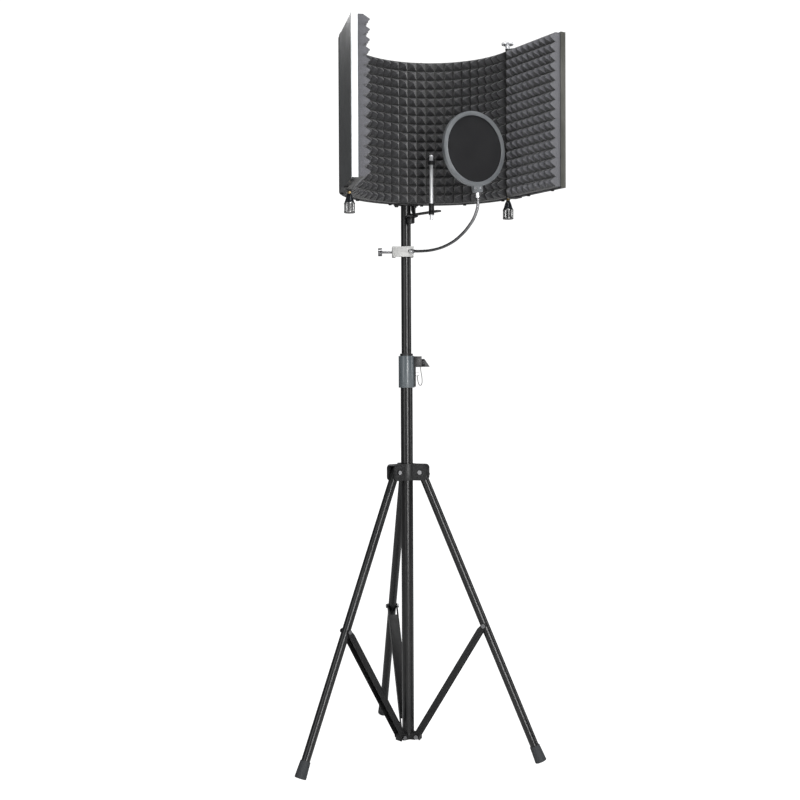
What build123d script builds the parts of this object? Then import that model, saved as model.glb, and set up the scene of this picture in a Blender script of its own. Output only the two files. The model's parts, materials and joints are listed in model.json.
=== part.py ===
from build123d import *
import os
from math import asin, atan, cos, degrees, hypot, radians, sin, tan

# A microphone isolation shield: a three-panel absorber on a folding tripod stand,
# with a microphone arm and a gooseneck pop filter. Millimetres, +Z up. The origin is
# on the floor under the mast's axis, and the shield opens towards -Y.

os.makedirs("parts", exist_ok=True)

# ---- fits and gaps ------------------------------------------------------------
running_gap = 0.05          # radial, a shaft in its bore
moving_gap = 0.4            # between faces of pieces that move past each other
soft_gap = 0.3              # between the foam and the sheet round it

# ---- tripod ---------------------------------------------------------------------
leg_angles = {"left": 203.5, "right": 323.5, "back": 83.5}
lower_tube_radius = 14.0
tube_wall = 1.5
lower_tube_bottom = 46.0
lower_tube_top = 896.0
leg_radius = 10.0
leg_head = 8.0              # leg beyond its top pivot
foot_circle = 317.0         # radius of the circle through the feet's centres
foot_radius = 13.5
foot_top_radius = 11.6
foot_height = 38.0
foot_round = 2.0
foot_floor = 5.0            # rubber under the leg's end

hub_height = 38.0
hub_middle = 657.0          # height of the leg pivots
hub_pivot_radius = 36.0
hub_ring_radius = 22.5
hub_reach = 51.0
cheek_gap = 10.5            # half the clear width of a clevis
cheek_wall = 3.0
hub_roof = 3.0
hub_corner = 9.0
hub_slide_gap = 0.1
pin_radius = 3.0
pin_head_radius = 5.0
pin_head = 3.0

hub_knob_angle = leg_angles["right"] + 60.0
hub_boss_radius = 8.0
hub_boss_reach = 34.0
hub_screw_radius = 4.0
hub_knob_start = 46.0
hub_knob_length = 14.0
hub_knob_radius = 8.0
hub_wing_span = 26.0
hub_wing_reach = 18.0
hub_wing_thick = 6.0

strut_drop = 380.0          # from a leg's top pivot to its strut pivot
base_pivot_radius = 24.0
base_pivot_height = 38.0
strut_gap = 10.5            # half the clear width of the channel
strut_wall = 1.5
strut_edge = 5.5            # channel's open edge below the pivot line
strut_back = 9.0            # channel's back above the pivot line
strut_taper = 14.0
strut_eye_radius = 6.5
web_start = 26.0
web_end = 30.0
strut_bolt_radius = 2.5
strut_bolt_head = 3.5
strut_bolt_head_radius = 5.0

base_core_radius = 13.0
base_plug_height = 24.0
base_lug_width = 20.0
base_lug_reach = 31.0
base_lug_bottom = 30.0
base_slot = 3.9             # half width of the slot that opens downwards

# ---- mast and its clutch -----------------------------------------------------
mast_radius = 11.5
mast_wall = 1.5
mast_bottom = 470.0
stop_height = 22.0
clutch_radius = 18.5
clutch_bottom = 854.0
clutch_top = 928.0
clutch_angle = -15.0
bushing_inside = 6.0        # bushing's depth in the lower tube
bushing_lip = 5.5
bushing_lip_radius = 15.0
block_width = 18.0
block_reach = 35.0
block_bottom = 902.0
block_top = 927.0
rib_width = 12.0
rib_reach = 21.5
clutch_screw_height = 911.0
clutch_screw_radius = 4.0
clutch_screw_tip = 14.5
lever_hub_radius = 7.0
lever_hub = 8.0
lever_reach = 19.0
lever_drop = 8.6
lever_rise = 10.0
lever_thick = 6.0
lock_pin_height = 885.0
lock_pin_radius = 2.5
lock_pin_tip = 12.0
lock_head_start = 22.2
lock_head_radius = 4.2
lock_head = 6.5
lanyard_radius = 0.8

# ---- shield ---------------------------------------------------------------------
shield_bottom = 1280.0
shield_height = 330.0
shield_back = 8.0           # how far the back of the shield stands behind the mast's axis
shell_radius = 208.0
centre_half_angle = 81.5
wing_length = 175.0
wing_fold = {"left": 1.5, "right": -5.0}
skin = 1.5
rim_depth = 11.0
hinge_depth = 21.0           # of a hinge's axis from the skin, near the foam's valleys
hinge_rod_radius = 2.5
hinge_eye_radius = 4.6
hinge_tab_length = 26.0
plate_eye_radius = 5.5
skin_end_gap = 3.0
wing_rim_start = 7.0
hinge_plate = 1.8
hinge_plate_length = 24.0
foam_base = 22.0
foam_peak = 16.0
foam_rod_gap = 4.0
foam_peak_gap = 10.4
strip_thick = 1.5
strip_width = 12.4
strip_lip = 7.0
strip_lip_thick = 0.8
centre_screws_at = (40.0, 145.0, 254.0)  # along the skin, each side of the middle
wing_screws_at = (55.0, 139.0)           # from the hinge
screw_head_radius = 3.8
screw_head = 2.4
screw_radius = 2.0

rod_nut_radius = 4.5
rod_nut = 4.0
knob_neck_radius = 4.2
knob_cone = 19.0
knob_cone_radius = 10.6
knob_radius = 12.0
knob_barrel = 22.5
knob_bore_depth = 14.0
top_nut_hub_radius = 4.8
top_nut_hub = 9.0
top_nut_radius = 13.5
top_nut_disc = 5.0
top_nut_bore = 9.0

# ---- bracket, microphone arm and stem ---------------------------------------
bracket_half_width = 28.0
bracket_plate = 3.0
bracket_front = 16.0
spigot_length = 42.0
bracket_screw_offset = 23.0
bracket_screw_radius = 2.5
bracket_screw_head_radius = 4.5
bracket_screw_head = 3.0
hook_inside = 14.5
hook_back = 6.0
hook_front = 20.0
shelf_drop = 28.5           # from the shield's bottom to the shelf's top
shelf_left = -10.0
shelf_front = 37.0
shelf_back = 14.0
arm_pivot = (3.0, -25.0)
arm_angle = -67.0
arm_width = 17.0
arm_thick = 3.0
arm_screw_radius = 3.0
screw_end = 3.0             # the arm's screw stands out above it
arm_knob_radius = 8.0
arm_knob_height = 14.0
arm_wing_reach = 12.6
arm_wing_thick = 4.0
stem_offset = 72.0
arm_tip = 20.0
stem_radius = 4.0
stem_top = 1359.0
stem_stud = 16.0
stem_nut_radius = 6.2
stem_nut_top = 17.0
stem_nut_bottom = 5.0
thread_radius = 4.76
thread_root = 4.4           # under the lock ring
thread_top = 1381.0
lock_ring_radius = 8.2
lock_ring = 8.0

# ---- pop filter -------------------------------------------------------------------
filter_angle = -75.5
filter_distance = 270.0
filter_height = 1367.0
filter_roll = 6.0
filter_radius = 80.0
filter_inner = 71.0
ring_thick = 4.4
mesh_thick = 0.8
mesh_edge = 73.5
mesh_spread = 2.0           # a mesh's middle, from the rings' joint face
boss_width = 22.0
boss_top = 76.0
boss_bottom = 93.0
boss_screw_y = 84.5
boss_screw_x = 7.0
boss_screw_radius = 1.6
boss_screw_head_radius = 2.9
boss_screw_head = 1.6

clamp_height = 1170.0
clamp_tall = 24.0
clamp_angle = -15.0         # the screw's axis, pointing away from the thumb disc
jaw_gap = 0.4
jaw_wall = 5.0
clamp_mouth = 24.5
clamp_wall = 8.0
clamp_web = 4.5
clamp_web_gap = 13.5
clamp_depth = 9.0
clamp_screw_radius = 3.0
clamp_pad_radius = 6.5
clamp_pad = 3.0
thumb_start = 56.0
thumb_disc = 9.0
thumb_radius = 9.3
ferrule_radius = 5.2
ferrule_length = 10.0
goose_radius = 3.3
goose_seat = 5.0            # gooseneck's length inside the filter's boss

# ---- what follows from those sizes --------------------------------------------
shield_top = shield_bottom + shield_height
arc_centre_y = shield_back - shell_radius
foam_depth = foam_base + foam_peak
foam_outside = skin + soft_gap
centre_rim_gap = moving_gap
rim_top_face = skin + centre_rim_gap
foam_bottom = shield_bottom + rim_top_face + soft_gap
foam_height = shield_height - 2 * (rim_top_face + soft_gap)


def lean_of(foot_reach):
    """A leg's lean, and its foot's centre height, for a foot on its inner edge."""
    lean = atan(foot_reach / hub_middle)
    for _ in range(20):
        rise = (foot_radius - foot_round) * sin(lean) + foot_round * (1 - cos(lean))
        lean = atan(foot_reach / (hub_middle - rise))
    return lean, rise


leg_lean, foot_rise = lean_of(foot_circle - hub_pivot_radius)
leg_length = hypot(foot_circle - hub_pivot_radius, hub_middle - foot_rise)
strut_pivot = (
    hub_pivot_radius + strut_drop * sin(leg_lean),
    hub_middle - strut_drop * cos(leg_lean),
)
strut_length = hypot(strut_pivot[0] - base_pivot_radius, strut_pivot[1] - base_pivot_height)
strut_lean = asin((strut_pivot[0] - base_pivot_radius) / strut_length)


# ---- helpers -----------------------------------------------------------------------
def keep(piece, name):
    """Label a finished piece and write it."""
    piece.part.label = name
    export_step(piece.part, f"parts/{name}.step")


def polar(radius, angle, z=0.0):
    return Vector(radius * cos(radians(angle)), radius * sin(radians(angle)), z)


def side_plane(angle):
    """Upright plane through the mast's axis: x runs outwards at the angle, y runs up."""
    return Plane(origin=(0, 0, 0), x_dir=polar(1, angle), z_dir=polar(1, angle - 90))


def leg_plane(angle, along):
    """Across a leg, at a distance along it from its top pivot, facing its foot."""
    reach = hub_pivot_radius + along * sin(leg_lean)
    origin = polar(reach, angle, hub_middle - along * cos(leg_lean))
    down = polar(sin(leg_lean), angle, -cos(leg_lean))
    return Plane(origin=origin, x_dir=polar(1, angle + 90), z_dir=down)


def outward_plane(angle, radius, z):
    """Faces outwards at the angle: x runs sideways and y runs up."""
    return Plane(origin=polar(radius, angle, z), x_dir=polar(1, angle + 90), z_dir=polar(1, angle))


def ring(outer, inner):
    Circle(outer)
    Circle(inner, mode=Mode.SUBTRACT)


def cross_bolts(name, places, shaft, half_grip, head_radius, head_height):
    """One bolt across each place, with a round head at both ends."""
    with BuildPart() as bolts:
        for place in places:
            with BuildSketch(place):
                Circle(shaft)
            extrude(amount=half_grip + head_height / 2, both=True)
            for way in (1, -1):
                with BuildSketch(place.offset(way * half_grip)):
                    Circle(head_radius)
                extrude(amount=way * head_height)
    keep(bolts, name)


# ---- tripod pieces -----------------------------------------------------------------
def lower_tube():
    with BuildPart() as tube:
        with BuildSketch(Plane.XY.offset(lower_tube_bottom)):
            ring(lower_tube_radius, lower_tube_radius - tube_wall)
        extrude(amount=lower_tube_top - lower_tube_bottom)
        with BuildSketch(outward_plane(clutch_angle, 0, lock_pin_height)):
            Circle(lock_pin_radius + running_gap)
        extrude(amount=2 * lower_tube_radius, mode=Mode.SUBTRACT)
    keep(tube, "lower_tube")


def base_hub():
    """Plug in the lower tube with a lug for each strut, slotted from below."""
    with BuildPart() as hub:
        with BuildSketch(Plane.XY.offset(base_lug_bottom)):
            Circle(base_core_radius)
            for angle in leg_angles.values():
                with Locations(Location(polar(base_lug_reach / 2, angle), angle)):
                    Rectangle(base_lug_reach, base_lug_width)
        extrude(amount=lower_tube_bottom - base_lug_bottom)
        with BuildSketch(Plane.XY.offset(lower_tube_bottom)):
            Circle(lower_tube_radius - tube_wall)
        extrude(amount=base_plug_height)
        for angle in leg_angles.values():
            with BuildSketch(side_plane(angle)):
                with Locations((base_pivot_radius, base_pivot_height)):
                    Circle(base_slot)
                with Locations((base_pivot_radius, base_pivot_height / 2)):
                    Rectangle(2 * base_slot, base_pivot_height)
            extrude(amount=base_lug_width, both=True, mode=Mode.SUBTRACT)
    keep(hub, "base_hub")


def leg_hub():
    """Sliding collar with a roofed clevis for each leg and a boss for its clamp screw."""
    bottom = hub_middle - hub_height / 2
    top = hub_middle + hub_height / 2
    with BuildPart() as hub:
        with BuildSketch(Plane.XY.offset(bottom)):
            Circle(hub_ring_radius)
        extrude(amount=hub_height)
        for angle in leg_angles.values():
            with BuildSketch(side_plane(angle)) as cheek:
                with BuildLine():
                    Polyline((0, bottom), (hub_reach, bottom), (hub_reach, top), (0, top), close=True)
                make_face()
                fillet(cheek.vertices().sort_by(Axis.X)[-2:], hub_corner)
            extrude(amount=cheek_gap + cheek_wall, both=True)
        with BuildSketch(outward_plane(hub_knob_angle, 0, hub_middle)):
            Circle(hub_boss_radius)
        extrude(amount=hub_boss_reach)
        for angle in leg_angles.values():
            with BuildSketch(side_plane(angle)):
                with BuildLine():
                    Polyline(
                        (hub_ring_radius, bottom - 1),
                        (hub_reach + 1, bottom - 1),
                        (hub_reach + 1, top - hub_roof),
                        (hub_ring_radius, top - hub_roof),
                        close=True,
                    )
                make_face()
            extrude(amount=cheek_gap, both=True, mode=Mode.SUBTRACT)
            with BuildSketch(side_plane(angle)):
                with Locations((hub_pivot_radius, hub_middle)):
                    Circle(pin_radius + running_gap)
            extrude(amount=2 * cheek_gap, both=True, mode=Mode.SUBTRACT)
        with BuildSketch(Plane.XY.offset(bottom)):
            Circle(lower_tube_radius + hub_slide_gap)
        extrude(amount=hub_height, mode=Mode.SUBTRACT)
        with BuildSketch(outward_plane(hub_knob_angle, 0, hub_middle)):
            Circle(hub_screw_radius + running_gap)
        extrude(amount=2 * hub_boss_reach, mode=Mode.SUBTRACT)
    keep(hub, "leg_hub")


def leg_hub_pins():
    places = [
        side_plane(angle).shift_origin(polar(hub_pivot_radius, angle, hub_middle))
        for angle in leg_angles.values()
    ]
    cross_bolts(
        "leg_hub_pins", places, pin_radius, cheek_gap + cheek_wall, pin_head_radius, pin_head
    )


def leg_hub_knob():
    with BuildPart() as knob:
        with BuildSketch(outward_plane(hub_knob_angle, lower_tube_radius + moving_gap, hub_middle)):
            Circle(hub_screw_radius)
        extrude(amount=hub_knob_start - lower_tube_radius)
        with BuildSketch(outward_plane(hub_knob_angle, hub_knob_start, hub_middle)):
            Circle(hub_knob_radius)
        extrude(amount=hub_knob_length, taper=8)
        with BuildSketch(outward_plane(hub_knob_angle, hub_knob_start + 2, hub_middle)):
            SlotOverall(hub_wing_span, hub_wing_thick, rotation=60)
        extrude(amount=hub_wing_reach)
    keep(knob, "leg_hub_knob")


def leg(side, angle):
    with BuildPart() as tube:
        with BuildSketch(leg_plane(angle, -leg_head)):
            ring(leg_radius, leg_radius - tube_wall)
        extrude(amount=leg_head + leg_length - foot_floor)
        with BuildSketch(side_plane(angle)):
            with Locations((hub_pivot_radius, hub_middle)):
                Circle(pin_radius + running_gap)
            with Locations(strut_pivot):
                Circle(strut_bolt_radius + running_gap)
        extrude(amount=2 * leg_radius, both=True, mode=Mode.SUBTRACT)
    keep(tube, f"{side}_leg")


def foot(side, angle):
    """Tapered rubber cap on a leg's end."""
    with BuildPart() as cap:
        with BuildSketch(leg_plane(angle, leg_length)):
            Circle(foot_radius)
        with BuildSketch(leg_plane(angle, leg_length - foot_height)):
            Circle(foot_top_radius)
        loft()
        fillet(cap.edges().filter_by(GeomType.CIRCLE).sort_by(SortBy.RADIUS)[-1], foot_round)
        with BuildSketch(leg_plane(angle, leg_length - foot_height)):
            Circle(leg_radius)
        extrude(amount=foot_height - foot_floor, mode=Mode.SUBTRACT)
    keep(cap, f"{side}_foot")


def strut(side, angle):
    """Channel that straddles the leg above and the base lug below."""
    down = polar(-sin(strut_lean), angle, -cos(strut_lean))
    plane = Plane(
        origin=polar(strut_pivot[0], angle, strut_pivot[1]),
        x_dir=down,
        z_dir=polar(1, angle + 90),
    )
    outside = strut_gap + strut_wall
    with BuildPart() as channel:
        with BuildSketch(plane):
            with BuildLine():
                Polyline(
                    (0, -strut_edge),
                    (strut_length, -strut_edge),
                    (strut_length, strut_edge),
                    (strut_length - strut_taper, strut_back),
                    (strut_taper, strut_back),
                    (0, strut_edge),
                    close=True,
                )
            make_face()
            with Locations((0, 0), (strut_length, 0)):
                Circle(strut_eye_radius)
        extrude(amount=outside, both=True)
        with BuildSketch(plane):
            with Locations((strut_length / 2, 0)):
                Rectangle(strut_length + 4 * strut_eye_radius, 4 * strut_back)
            with BuildLine():
                Polyline(
                    (web_start, strut_back - strut_wall),
                    (strut_length - web_end, strut_back - strut_wall),
                    (strut_length - web_end, strut_back),
                    (web_start, strut_back),
                    close=True,
                )
            make_face(mode=Mode.SUBTRACT)
        extrude(amount=strut_gap, both=True, mode=Mode.SUBTRACT)
        with BuildSketch(plane):
            with Locations((0, 0), (strut_length, 0)):
                Circle(strut_bolt_radius + running_gap)
        extrude(amount=outside, both=True, mode=Mode.SUBTRACT)
    keep(channel, f"{side}_strut")
    ends = {"strut_bolt": strut_pivot, "base_bolt": (base_pivot_radius, base_pivot_height)}
    for bolt_name, (reach, height) in ends.items():
        place = side_plane(angle).shift_origin(polar(reach, angle, height))
        cross_bolts(
            f"{side}_{bolt_name}", [place], strut_bolt_radius, outside + moving_gap,
            strut_bolt_head_radius, strut_bolt_head,
        )


# ---- mast pieces -------------------------------------------------------------------
def clutch_collar():
    with BuildPart() as collar:
        with BuildSketch(Plane.XY.offset(clutch_bottom)):
            ring(clutch_radius, lower_tube_radius)
        extrude(amount=clutch_top - clutch_bottom)
        for height, radius in (
            (clutch_screw_height, clutch_screw_radius),
            (lock_pin_height, lock_pin_radius),
        ):
            with BuildSketch(outward_plane(clutch_angle, 0, height)):
                Circle(radius + running_gap)
            extrude(amount=2 * clutch_radius, mode=Mode.SUBTRACT)
    keep(collar, "clutch_collar")


def clutch_block():
    """Moulded ear on the collar that carries the clamp screw and the locking pin."""
    with BuildPart() as block:
        with BuildSketch(Plane.XY.offset(block_bottom)):
            with Locations(Location(polar(block_reach / 2, clutch_angle), clutch_angle)):
                Rectangle(block_reach, block_width)
        extrude(amount=block_top - block_bottom)
        with BuildSketch(Plane.XY.offset(clutch_bottom + 2)):
            with Locations(Location(polar(rib_reach / 2, clutch_angle), clutch_angle)):
                Rectangle(rib_reach, rib_width)
        extrude(amount=block_bottom - clutch_bottom)
        with BuildSketch(Plane.XY.offset(clutch_bottom)):
            Circle(clutch_radius)
        extrude(amount=clutch_top - clutch_bottom, mode=Mode.SUBTRACT)
        for height, radius in (
            (clutch_screw_height, clutch_screw_radius),
            (lock_pin_height, lock_pin_radius),
        ):
            with BuildSketch(outward_plane(clutch_angle, 0, height)):
                Circle(radius + running_gap)
            extrude(amount=2 * block_reach, mode=Mode.SUBTRACT)
    keep(block, "clutch_block")


def clutch_bushing():
    """Plastic sleeve that guides the mast in the mouth of the lower tube."""
    with BuildPart() as bushing:
        for low, high, radius in (
            (lower_tube_top - bushing_inside, lower_tube_top, lower_tube_radius - tube_wall),
            (lower_tube_top, clutch_top, lower_tube_radius),
            (clutch_top, clutch_top + bushing_lip, bushing_lip_radius),
        ):
            with BuildSketch(Plane.XY.offset(low)):
                ring(radius, mast_radius + running_gap)
            extrude(amount=high - low)
    keep(bushing, "clutch_bushing")


def clutch_knob():
    """Clamp screw with a one-sided lever."""
    start = block_reach + moving_gap
    with BuildPart() as knob:
        with BuildSketch(outward_plane(clutch_angle, clutch_screw_tip, clutch_screw_height)):
            Circle(clutch_screw_radius)
        extrude(amount=start - clutch_screw_tip)
        with BuildSketch(outward_plane(clutch_angle, start, clutch_screw_height)):
            Circle(lever_hub_radius)
        extrude(amount=lever_hub)
        with BuildSketch(side_plane(clutch_angle)):
            with BuildLine():
                Polyline(
                    (start, clutch_screw_height + lever_rise),
                    (start + lever_reach * 0.35, clutch_screw_height + lever_rise),
                    (start + lever_reach, clutch_screw_height - lever_drop),
                    (start, clutch_screw_height - lever_drop),
                    close=True,
                )
            make_face()
        extrude(amount=lever_thick / 2, both=True)
    keep(knob, "clutch_knob")


def locking_pin():
    with BuildPart() as pin:
        with BuildSketch(outward_plane(clutch_angle, lock_pin_tip, lock_pin_height)):
            Circle(lock_pin_radius)
        extrude(amount=lock_head_start - lock_pin_tip)
        with BuildSketch(outward_plane(clutch_angle, lock_head_start, lock_pin_height)):
            Circle(lock_head_radius)
        extrude(amount=lock_head)
    keep(pin, "locking_pin")


def arc_radii(points):
    """The largest arc that each bend of a route allows."""
    radii = []
    for before, here, after in zip(points, points[1:], points[2:]):
        arrive, leave = Vector(*here) - Vector(*before), Vector(*after) - Vector(*here)
        turn = radians(arrive.get_angle(leave))
        radii.append(0.45 * min(arrive.length, leave.length) / tan(turn / 2))
    return radii


def tube_along(name, points, radius):
    radii = arc_radii(points)
    with BuildPart() as tube:
        with BuildLine():
            path = FilletPolyline(*points, radius=radii)
        with BuildSketch(Plane(origin=path @ 0, z_dir=path % 0)):
            Circle(radius)
        sweep(path=path)
    keep(tube, name)


# The lanyard's route, as distance from the mast's axis and height, in the clutch's plane:
# from the pin's head, down, round and up to the underside of the clutch's block.
lanyard_route = [
    (25.5, lock_pin_height - lock_head_radius, 0.0),
    (25.7, 875.0, 0.3),
    (26.7, 868.8, 0.8),
    (28.0, 863.2, 1.0),
    (30.6, 858.9, 0.9),
    (34.3, 859.4, 0.6),
    (36.2, 864.2, 0.4),
    (36.6, 870.5, 0.1),
    (36.0, 878.4, -0.1),
    (34.6, 886.8, -0.2),
    (33.2, 894.6, -0.1),
    (32.7, block_bottom - moving_gap, 0.0),
]


def pin_lanyard():
    points = [
        tuple(polar(reach, clutch_angle, height) + polar(aside, clutch_angle + 90))
        for reach, height, aside in lanyard_route
    ]
    tube_along("pin_lanyard", points, lanyard_radius)


def mast_tube():
    top = shield_bottom + centre_rim_gap - bracket_plate - moving_gap
    with BuildPart() as tube:
        with BuildSketch(Plane.XY.offset(mast_bottom)):
            ring(mast_radius, mast_radius - mast_wall)
        extrude(amount=top - mast_bottom)
    keep(tube, "mast_tube")


def mast_stop():
    """Plug and guide ring on the mast's lower end, running in the lower tube."""
    with BuildPart() as stop:
        with BuildSketch(Plane.XY.offset(mast_bottom - stop_height / 2)):
            Circle(lower_tube_radius - tube_wall - running_gap)
        extrude(amount=stop_height / 2)
        with BuildSketch(Plane.XY.offset(mast_bottom)):
            Circle(mast_radius - mast_wall)
        extrude(amount=stop_height)
    keep(stop, "mast_stop")


# ---- shield pieces -----------------------------------------------------------------
def hand(side):
    return 1 if side == "right" else -1


def hinge_point(side):
    angle = radians(centre_half_angle)
    reach = shell_radius - hinge_depth
    return Vector(hand(side) * reach * sin(angle), arc_centre_y + reach * cos(angle), 0)


def hinge_plane(side, z, fold=0.0):
    """On a hinge's axis: x runs on from the centre panel's end, y across it."""
    heading = radians(centre_half_angle + fold)
    outwards = (hand(side) * cos(heading), -sin(heading), 0)
    origin = hinge_point(side) + Vector(0, 0, z)
    return Plane(origin=origin, x_dir=outwards, z_dir=(0, 0, 1))


def wing_plane(side, z):
    """On a wing's hinge axis: x runs outwards along the wing, y across it."""
    return hinge_plane(side, z, wing_fold[side])


def wing_outline(side, points):
    """A face on a wing's plane, from distances along it and depths from its skin."""
    with BuildLine() as outline:
        Polyline(*[(x, -hand(side) * (depth - hinge_depth)) for x, depth in points], close=True)
    make_face(outline.edges())


def wing_box(side, start, end, outer, inner):
    wing_outline(side, [(start, outer), (end, outer), (end, inner), (start, inner)])


def arc_band(outer, inner, end_gap):
    """The centre panel's curved strip between two depths from its skin."""
    half = centre_half_angle - degrees(end_gap / shell_radius)
    middle = (0, arc_centre_y)
    with BuildLine() as band:
        far = CenterArc(middle, shell_radius - outer, 90 - half, 2 * half)
        near = CenterArc(middle, shell_radius - inner, 90 - half, 2 * half)
        Line(far @ 0, near @ 0)
        Line(far @ 1, near @ 1)
    make_face(band.edges())


def arc_point(along, depth, z=0.0):
    """A point of the centre panel, at a distance along its skin from the middle."""
    angle = along / shell_radius
    reach = shell_radius - depth
    return Vector(reach * sin(angle), arc_centre_y + reach * cos(angle), z)


def centre_screw_places():
    return [way * along for way in (-1, 1) for along in centre_screws_at]


def centre_shell():
    """Curved tray: a sheet skin with a rim and two hinge eyes along top and bottom."""
    low = shield_bottom + centre_rim_gap
    high = shield_top - centre_rim_gap
    eyes = [hinge_point(side) for side in ("left", "right")]
    with BuildPart() as shell:
        with BuildSketch(Plane.XY.offset(low)):
            arc_band(0, skin, skin_end_gap)
        extrude(amount=high - low)
        for base in (low, high - skin):
            for side in ("left", "right"):
                with BuildSketch(hinge_plane(side, base)):
                    wing_outline(side, [
                        (-hinge_tab_length, rim_depth - skin),
                        (0, rim_depth - skin),
                        (hinge_eye_radius, hinge_depth),
                        (-hinge_eye_radius, hinge_depth),
                    ])
                    Circle(hinge_rod_radius + running_gap, mode=Mode.SUBTRACT)
                extrude(amount=skin)
            with BuildSketch(Plane.XY.offset(base)):
                arc_band(0, rim_depth, 0)
                with Locations(*eyes):
                    Circle(hinge_eye_radius)
                with Locations(*eyes):
                    Circle(hinge_rod_radius + running_gap, mode=Mode.SUBTRACT)
                holes = [arc_point(along, rim_depth / 2) for along in centre_screw_places()]
                with Locations(*holes):
                    Circle(screw_radius, mode=Mode.SUBTRACT)
            extrude(amount=skin)
        with BuildSketch(Plane.XY.offset(low)):
            with Locations(*bracket_screw_points()):
                Circle(bracket_screw_radius)
        extrude(amount=skin, mode=Mode.SUBTRACT)
    keep(shell, "centre_shell")


def wing_shell(side):
    """Flat tray with a closed end, and an eye below and above the centre panel's."""
    screws = [(x, -hand(side) * (rim_depth / 2 - hinge_depth)) for x in wing_screws_at]
    with BuildPart() as shell:
        with BuildSketch(wing_plane(side, shield_bottom)):
            wing_box(side, skin_end_gap, wing_length, 0, skin)
            wing_box(side, wing_length - skin, wing_length, 0, rim_depth)
        extrude(amount=shield_height)
        for base in (shield_bottom, shield_top - skin):
            with BuildSketch(wing_plane(side, base)):
                wing_box(side, wing_rim_start, wing_length, 0, rim_depth)
                with Locations(*screws):
                    Circle(screw_radius, mode=Mode.SUBTRACT)
            extrude(amount=skin)
        for base in (shield_bottom - hinge_plate, shield_top):
            with BuildSketch(wing_plane(side, base)):
                wing_outline(side, [
                    (0, 0),
                    (hinge_plate_length, 0),
                    (hinge_plate_length, rim_depth),
                    (plate_eye_radius, hinge_depth),
                    (-plate_eye_radius, hinge_depth),
                ])
                Circle(plate_eye_radius)
                Circle(hinge_rod_radius + running_gap, mode=Mode.SUBTRACT)
            extrude(amount=hinge_plate)
        for base in (shield_bottom - hinge_plate, shield_top - skin):
            with BuildSketch(wing_plane(side, base)):
                Circle(hinge_rod_radius + running_gap)
            extrude(amount=hinge_plate + skin, mode=Mode.SUBTRACT)
    keep(shell, f"{side}_wing_shell")


def end_strip(side):
    """Bright trim on a wing's outer end, with a lip round the skin."""
    with BuildPart() as strip:
        with BuildSketch(wing_plane(side, shield_bottom)):
            wing_box(side, wing_length, wing_length + strip_thick, 0, strip_width)
            wing_box(
                side, wing_length - strip_lip, wing_length + strip_thick, -strip_lip_thick, 0
            )
        extrude(amount=shield_height)
    keep(strip, f"{side}_end_strip")


def centre_foam():
    """Curved foam panel whose ends slope back from the hinge lines."""
    inside = foam_outside + foam_depth
    with BuildPart() as foam:
        with BuildSketch(Plane.XY.offset(foam_bottom)):
            arc_band(foam_outside, inside, 0)
        extrude(amount=foam_height)
        for side in ("left", "right"):
            with BuildSketch(hinge_plane(side, foam_bottom)):
                wing_outline(side, [
                    (foam_peak_gap, 0),
                    (-foam_rod_gap, 0),
                    (-foam_rod_gap, foam_outside + foam_base),
                    (-foam_peak_gap, inside),
                    (-foam_peak_gap, inside + 2),
                    (foam_peak_gap, inside + 2),
                ])
            extrude(amount=foam_height, mode=Mode.SUBTRACT)
    keep(foam, "centre_foam")


def wing_foam(side):
    inside = foam_outside + foam_depth
    end = wing_length - skin - soft_gap
    with BuildPart() as foam:
        with BuildSketch(wing_plane(side, foam_bottom)):
            wing_outline(side, [
                (foam_rod_gap, foam_outside),
                (end, foam_outside),
                (end, inside),
                (foam_peak_gap, inside),
                (foam_rod_gap, foam_outside + foam_base),
            ])
        extrude(amount=foam_height)
    keep(foam, f"{side}_foam")


def rim_screws(name, places, brackets=()):
    """Screw heads on the outside of the rims or the bracket, shanks through the sheet."""
    with BuildPart() as screws:
        for place, way in places:
            with BuildSketch(place):
                Circle(screw_head_radius)
            extrude(amount=way * screw_head)
            with BuildSketch(place):
                Circle(screw_radius)
            extrude(amount=-way * skin)
        for place in brackets:
            with BuildSketch(place):
                Circle(bracket_screw_head_radius)
            extrude(amount=-bracket_screw_head)
            with BuildSketch(place):
                Circle(bracket_screw_radius)
            extrude(amount=bracket_plate + skin)
    keep(screws, name)


def shield_screws():
    middle = rim_depth / 2
    places = []
    for along in centre_screw_places():
        low, high = shield_bottom + centre_rim_gap, shield_top - centre_rim_gap
        places.append((Plane(origin=arc_point(along, middle, low)), -1))
        places.append((Plane(origin=arc_point(along, middle, high)), 1))
    plate = Vector(0, 0, shield_bottom + centre_rim_gap - bracket_plate)
    brackets = [Plane(origin=point + plate) for point in bracket_screw_points()]
    rim_screws("centre_screws", places, brackets)
    for side in ("left", "right"):
        places = []
        for along in wing_screws_at:
            for z, way in ((shield_bottom, -1), (shield_top, 1)):
                plane = wing_plane(side, z)
                point = plane.from_local_coords((along, -hand(side) * (middle - hinge_depth), 0))
                places.append((Plane(origin=point), way))
        rim_screws(f"{side}_rim_screws", places)


nut_top = shield_bottom - hinge_plate - moving_gap
knob_top = nut_top - rod_nut - moving_gap
top_nut_bottom = shield_top + hinge_plate + moving_gap


def hinge_rod(side):
    low = knob_top - knob_bore_depth + moving_gap
    high = top_nut_bottom + top_nut_bore - moving_gap
    with BuildPart() as rod:
        with BuildSketch(Plane(origin=hinge_point(side) + Vector(0, 0, low))):
            Circle(hinge_rod_radius)
        extrude(amount=high - low)
    keep(rod, f"{side}_hinge_rod")


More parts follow.
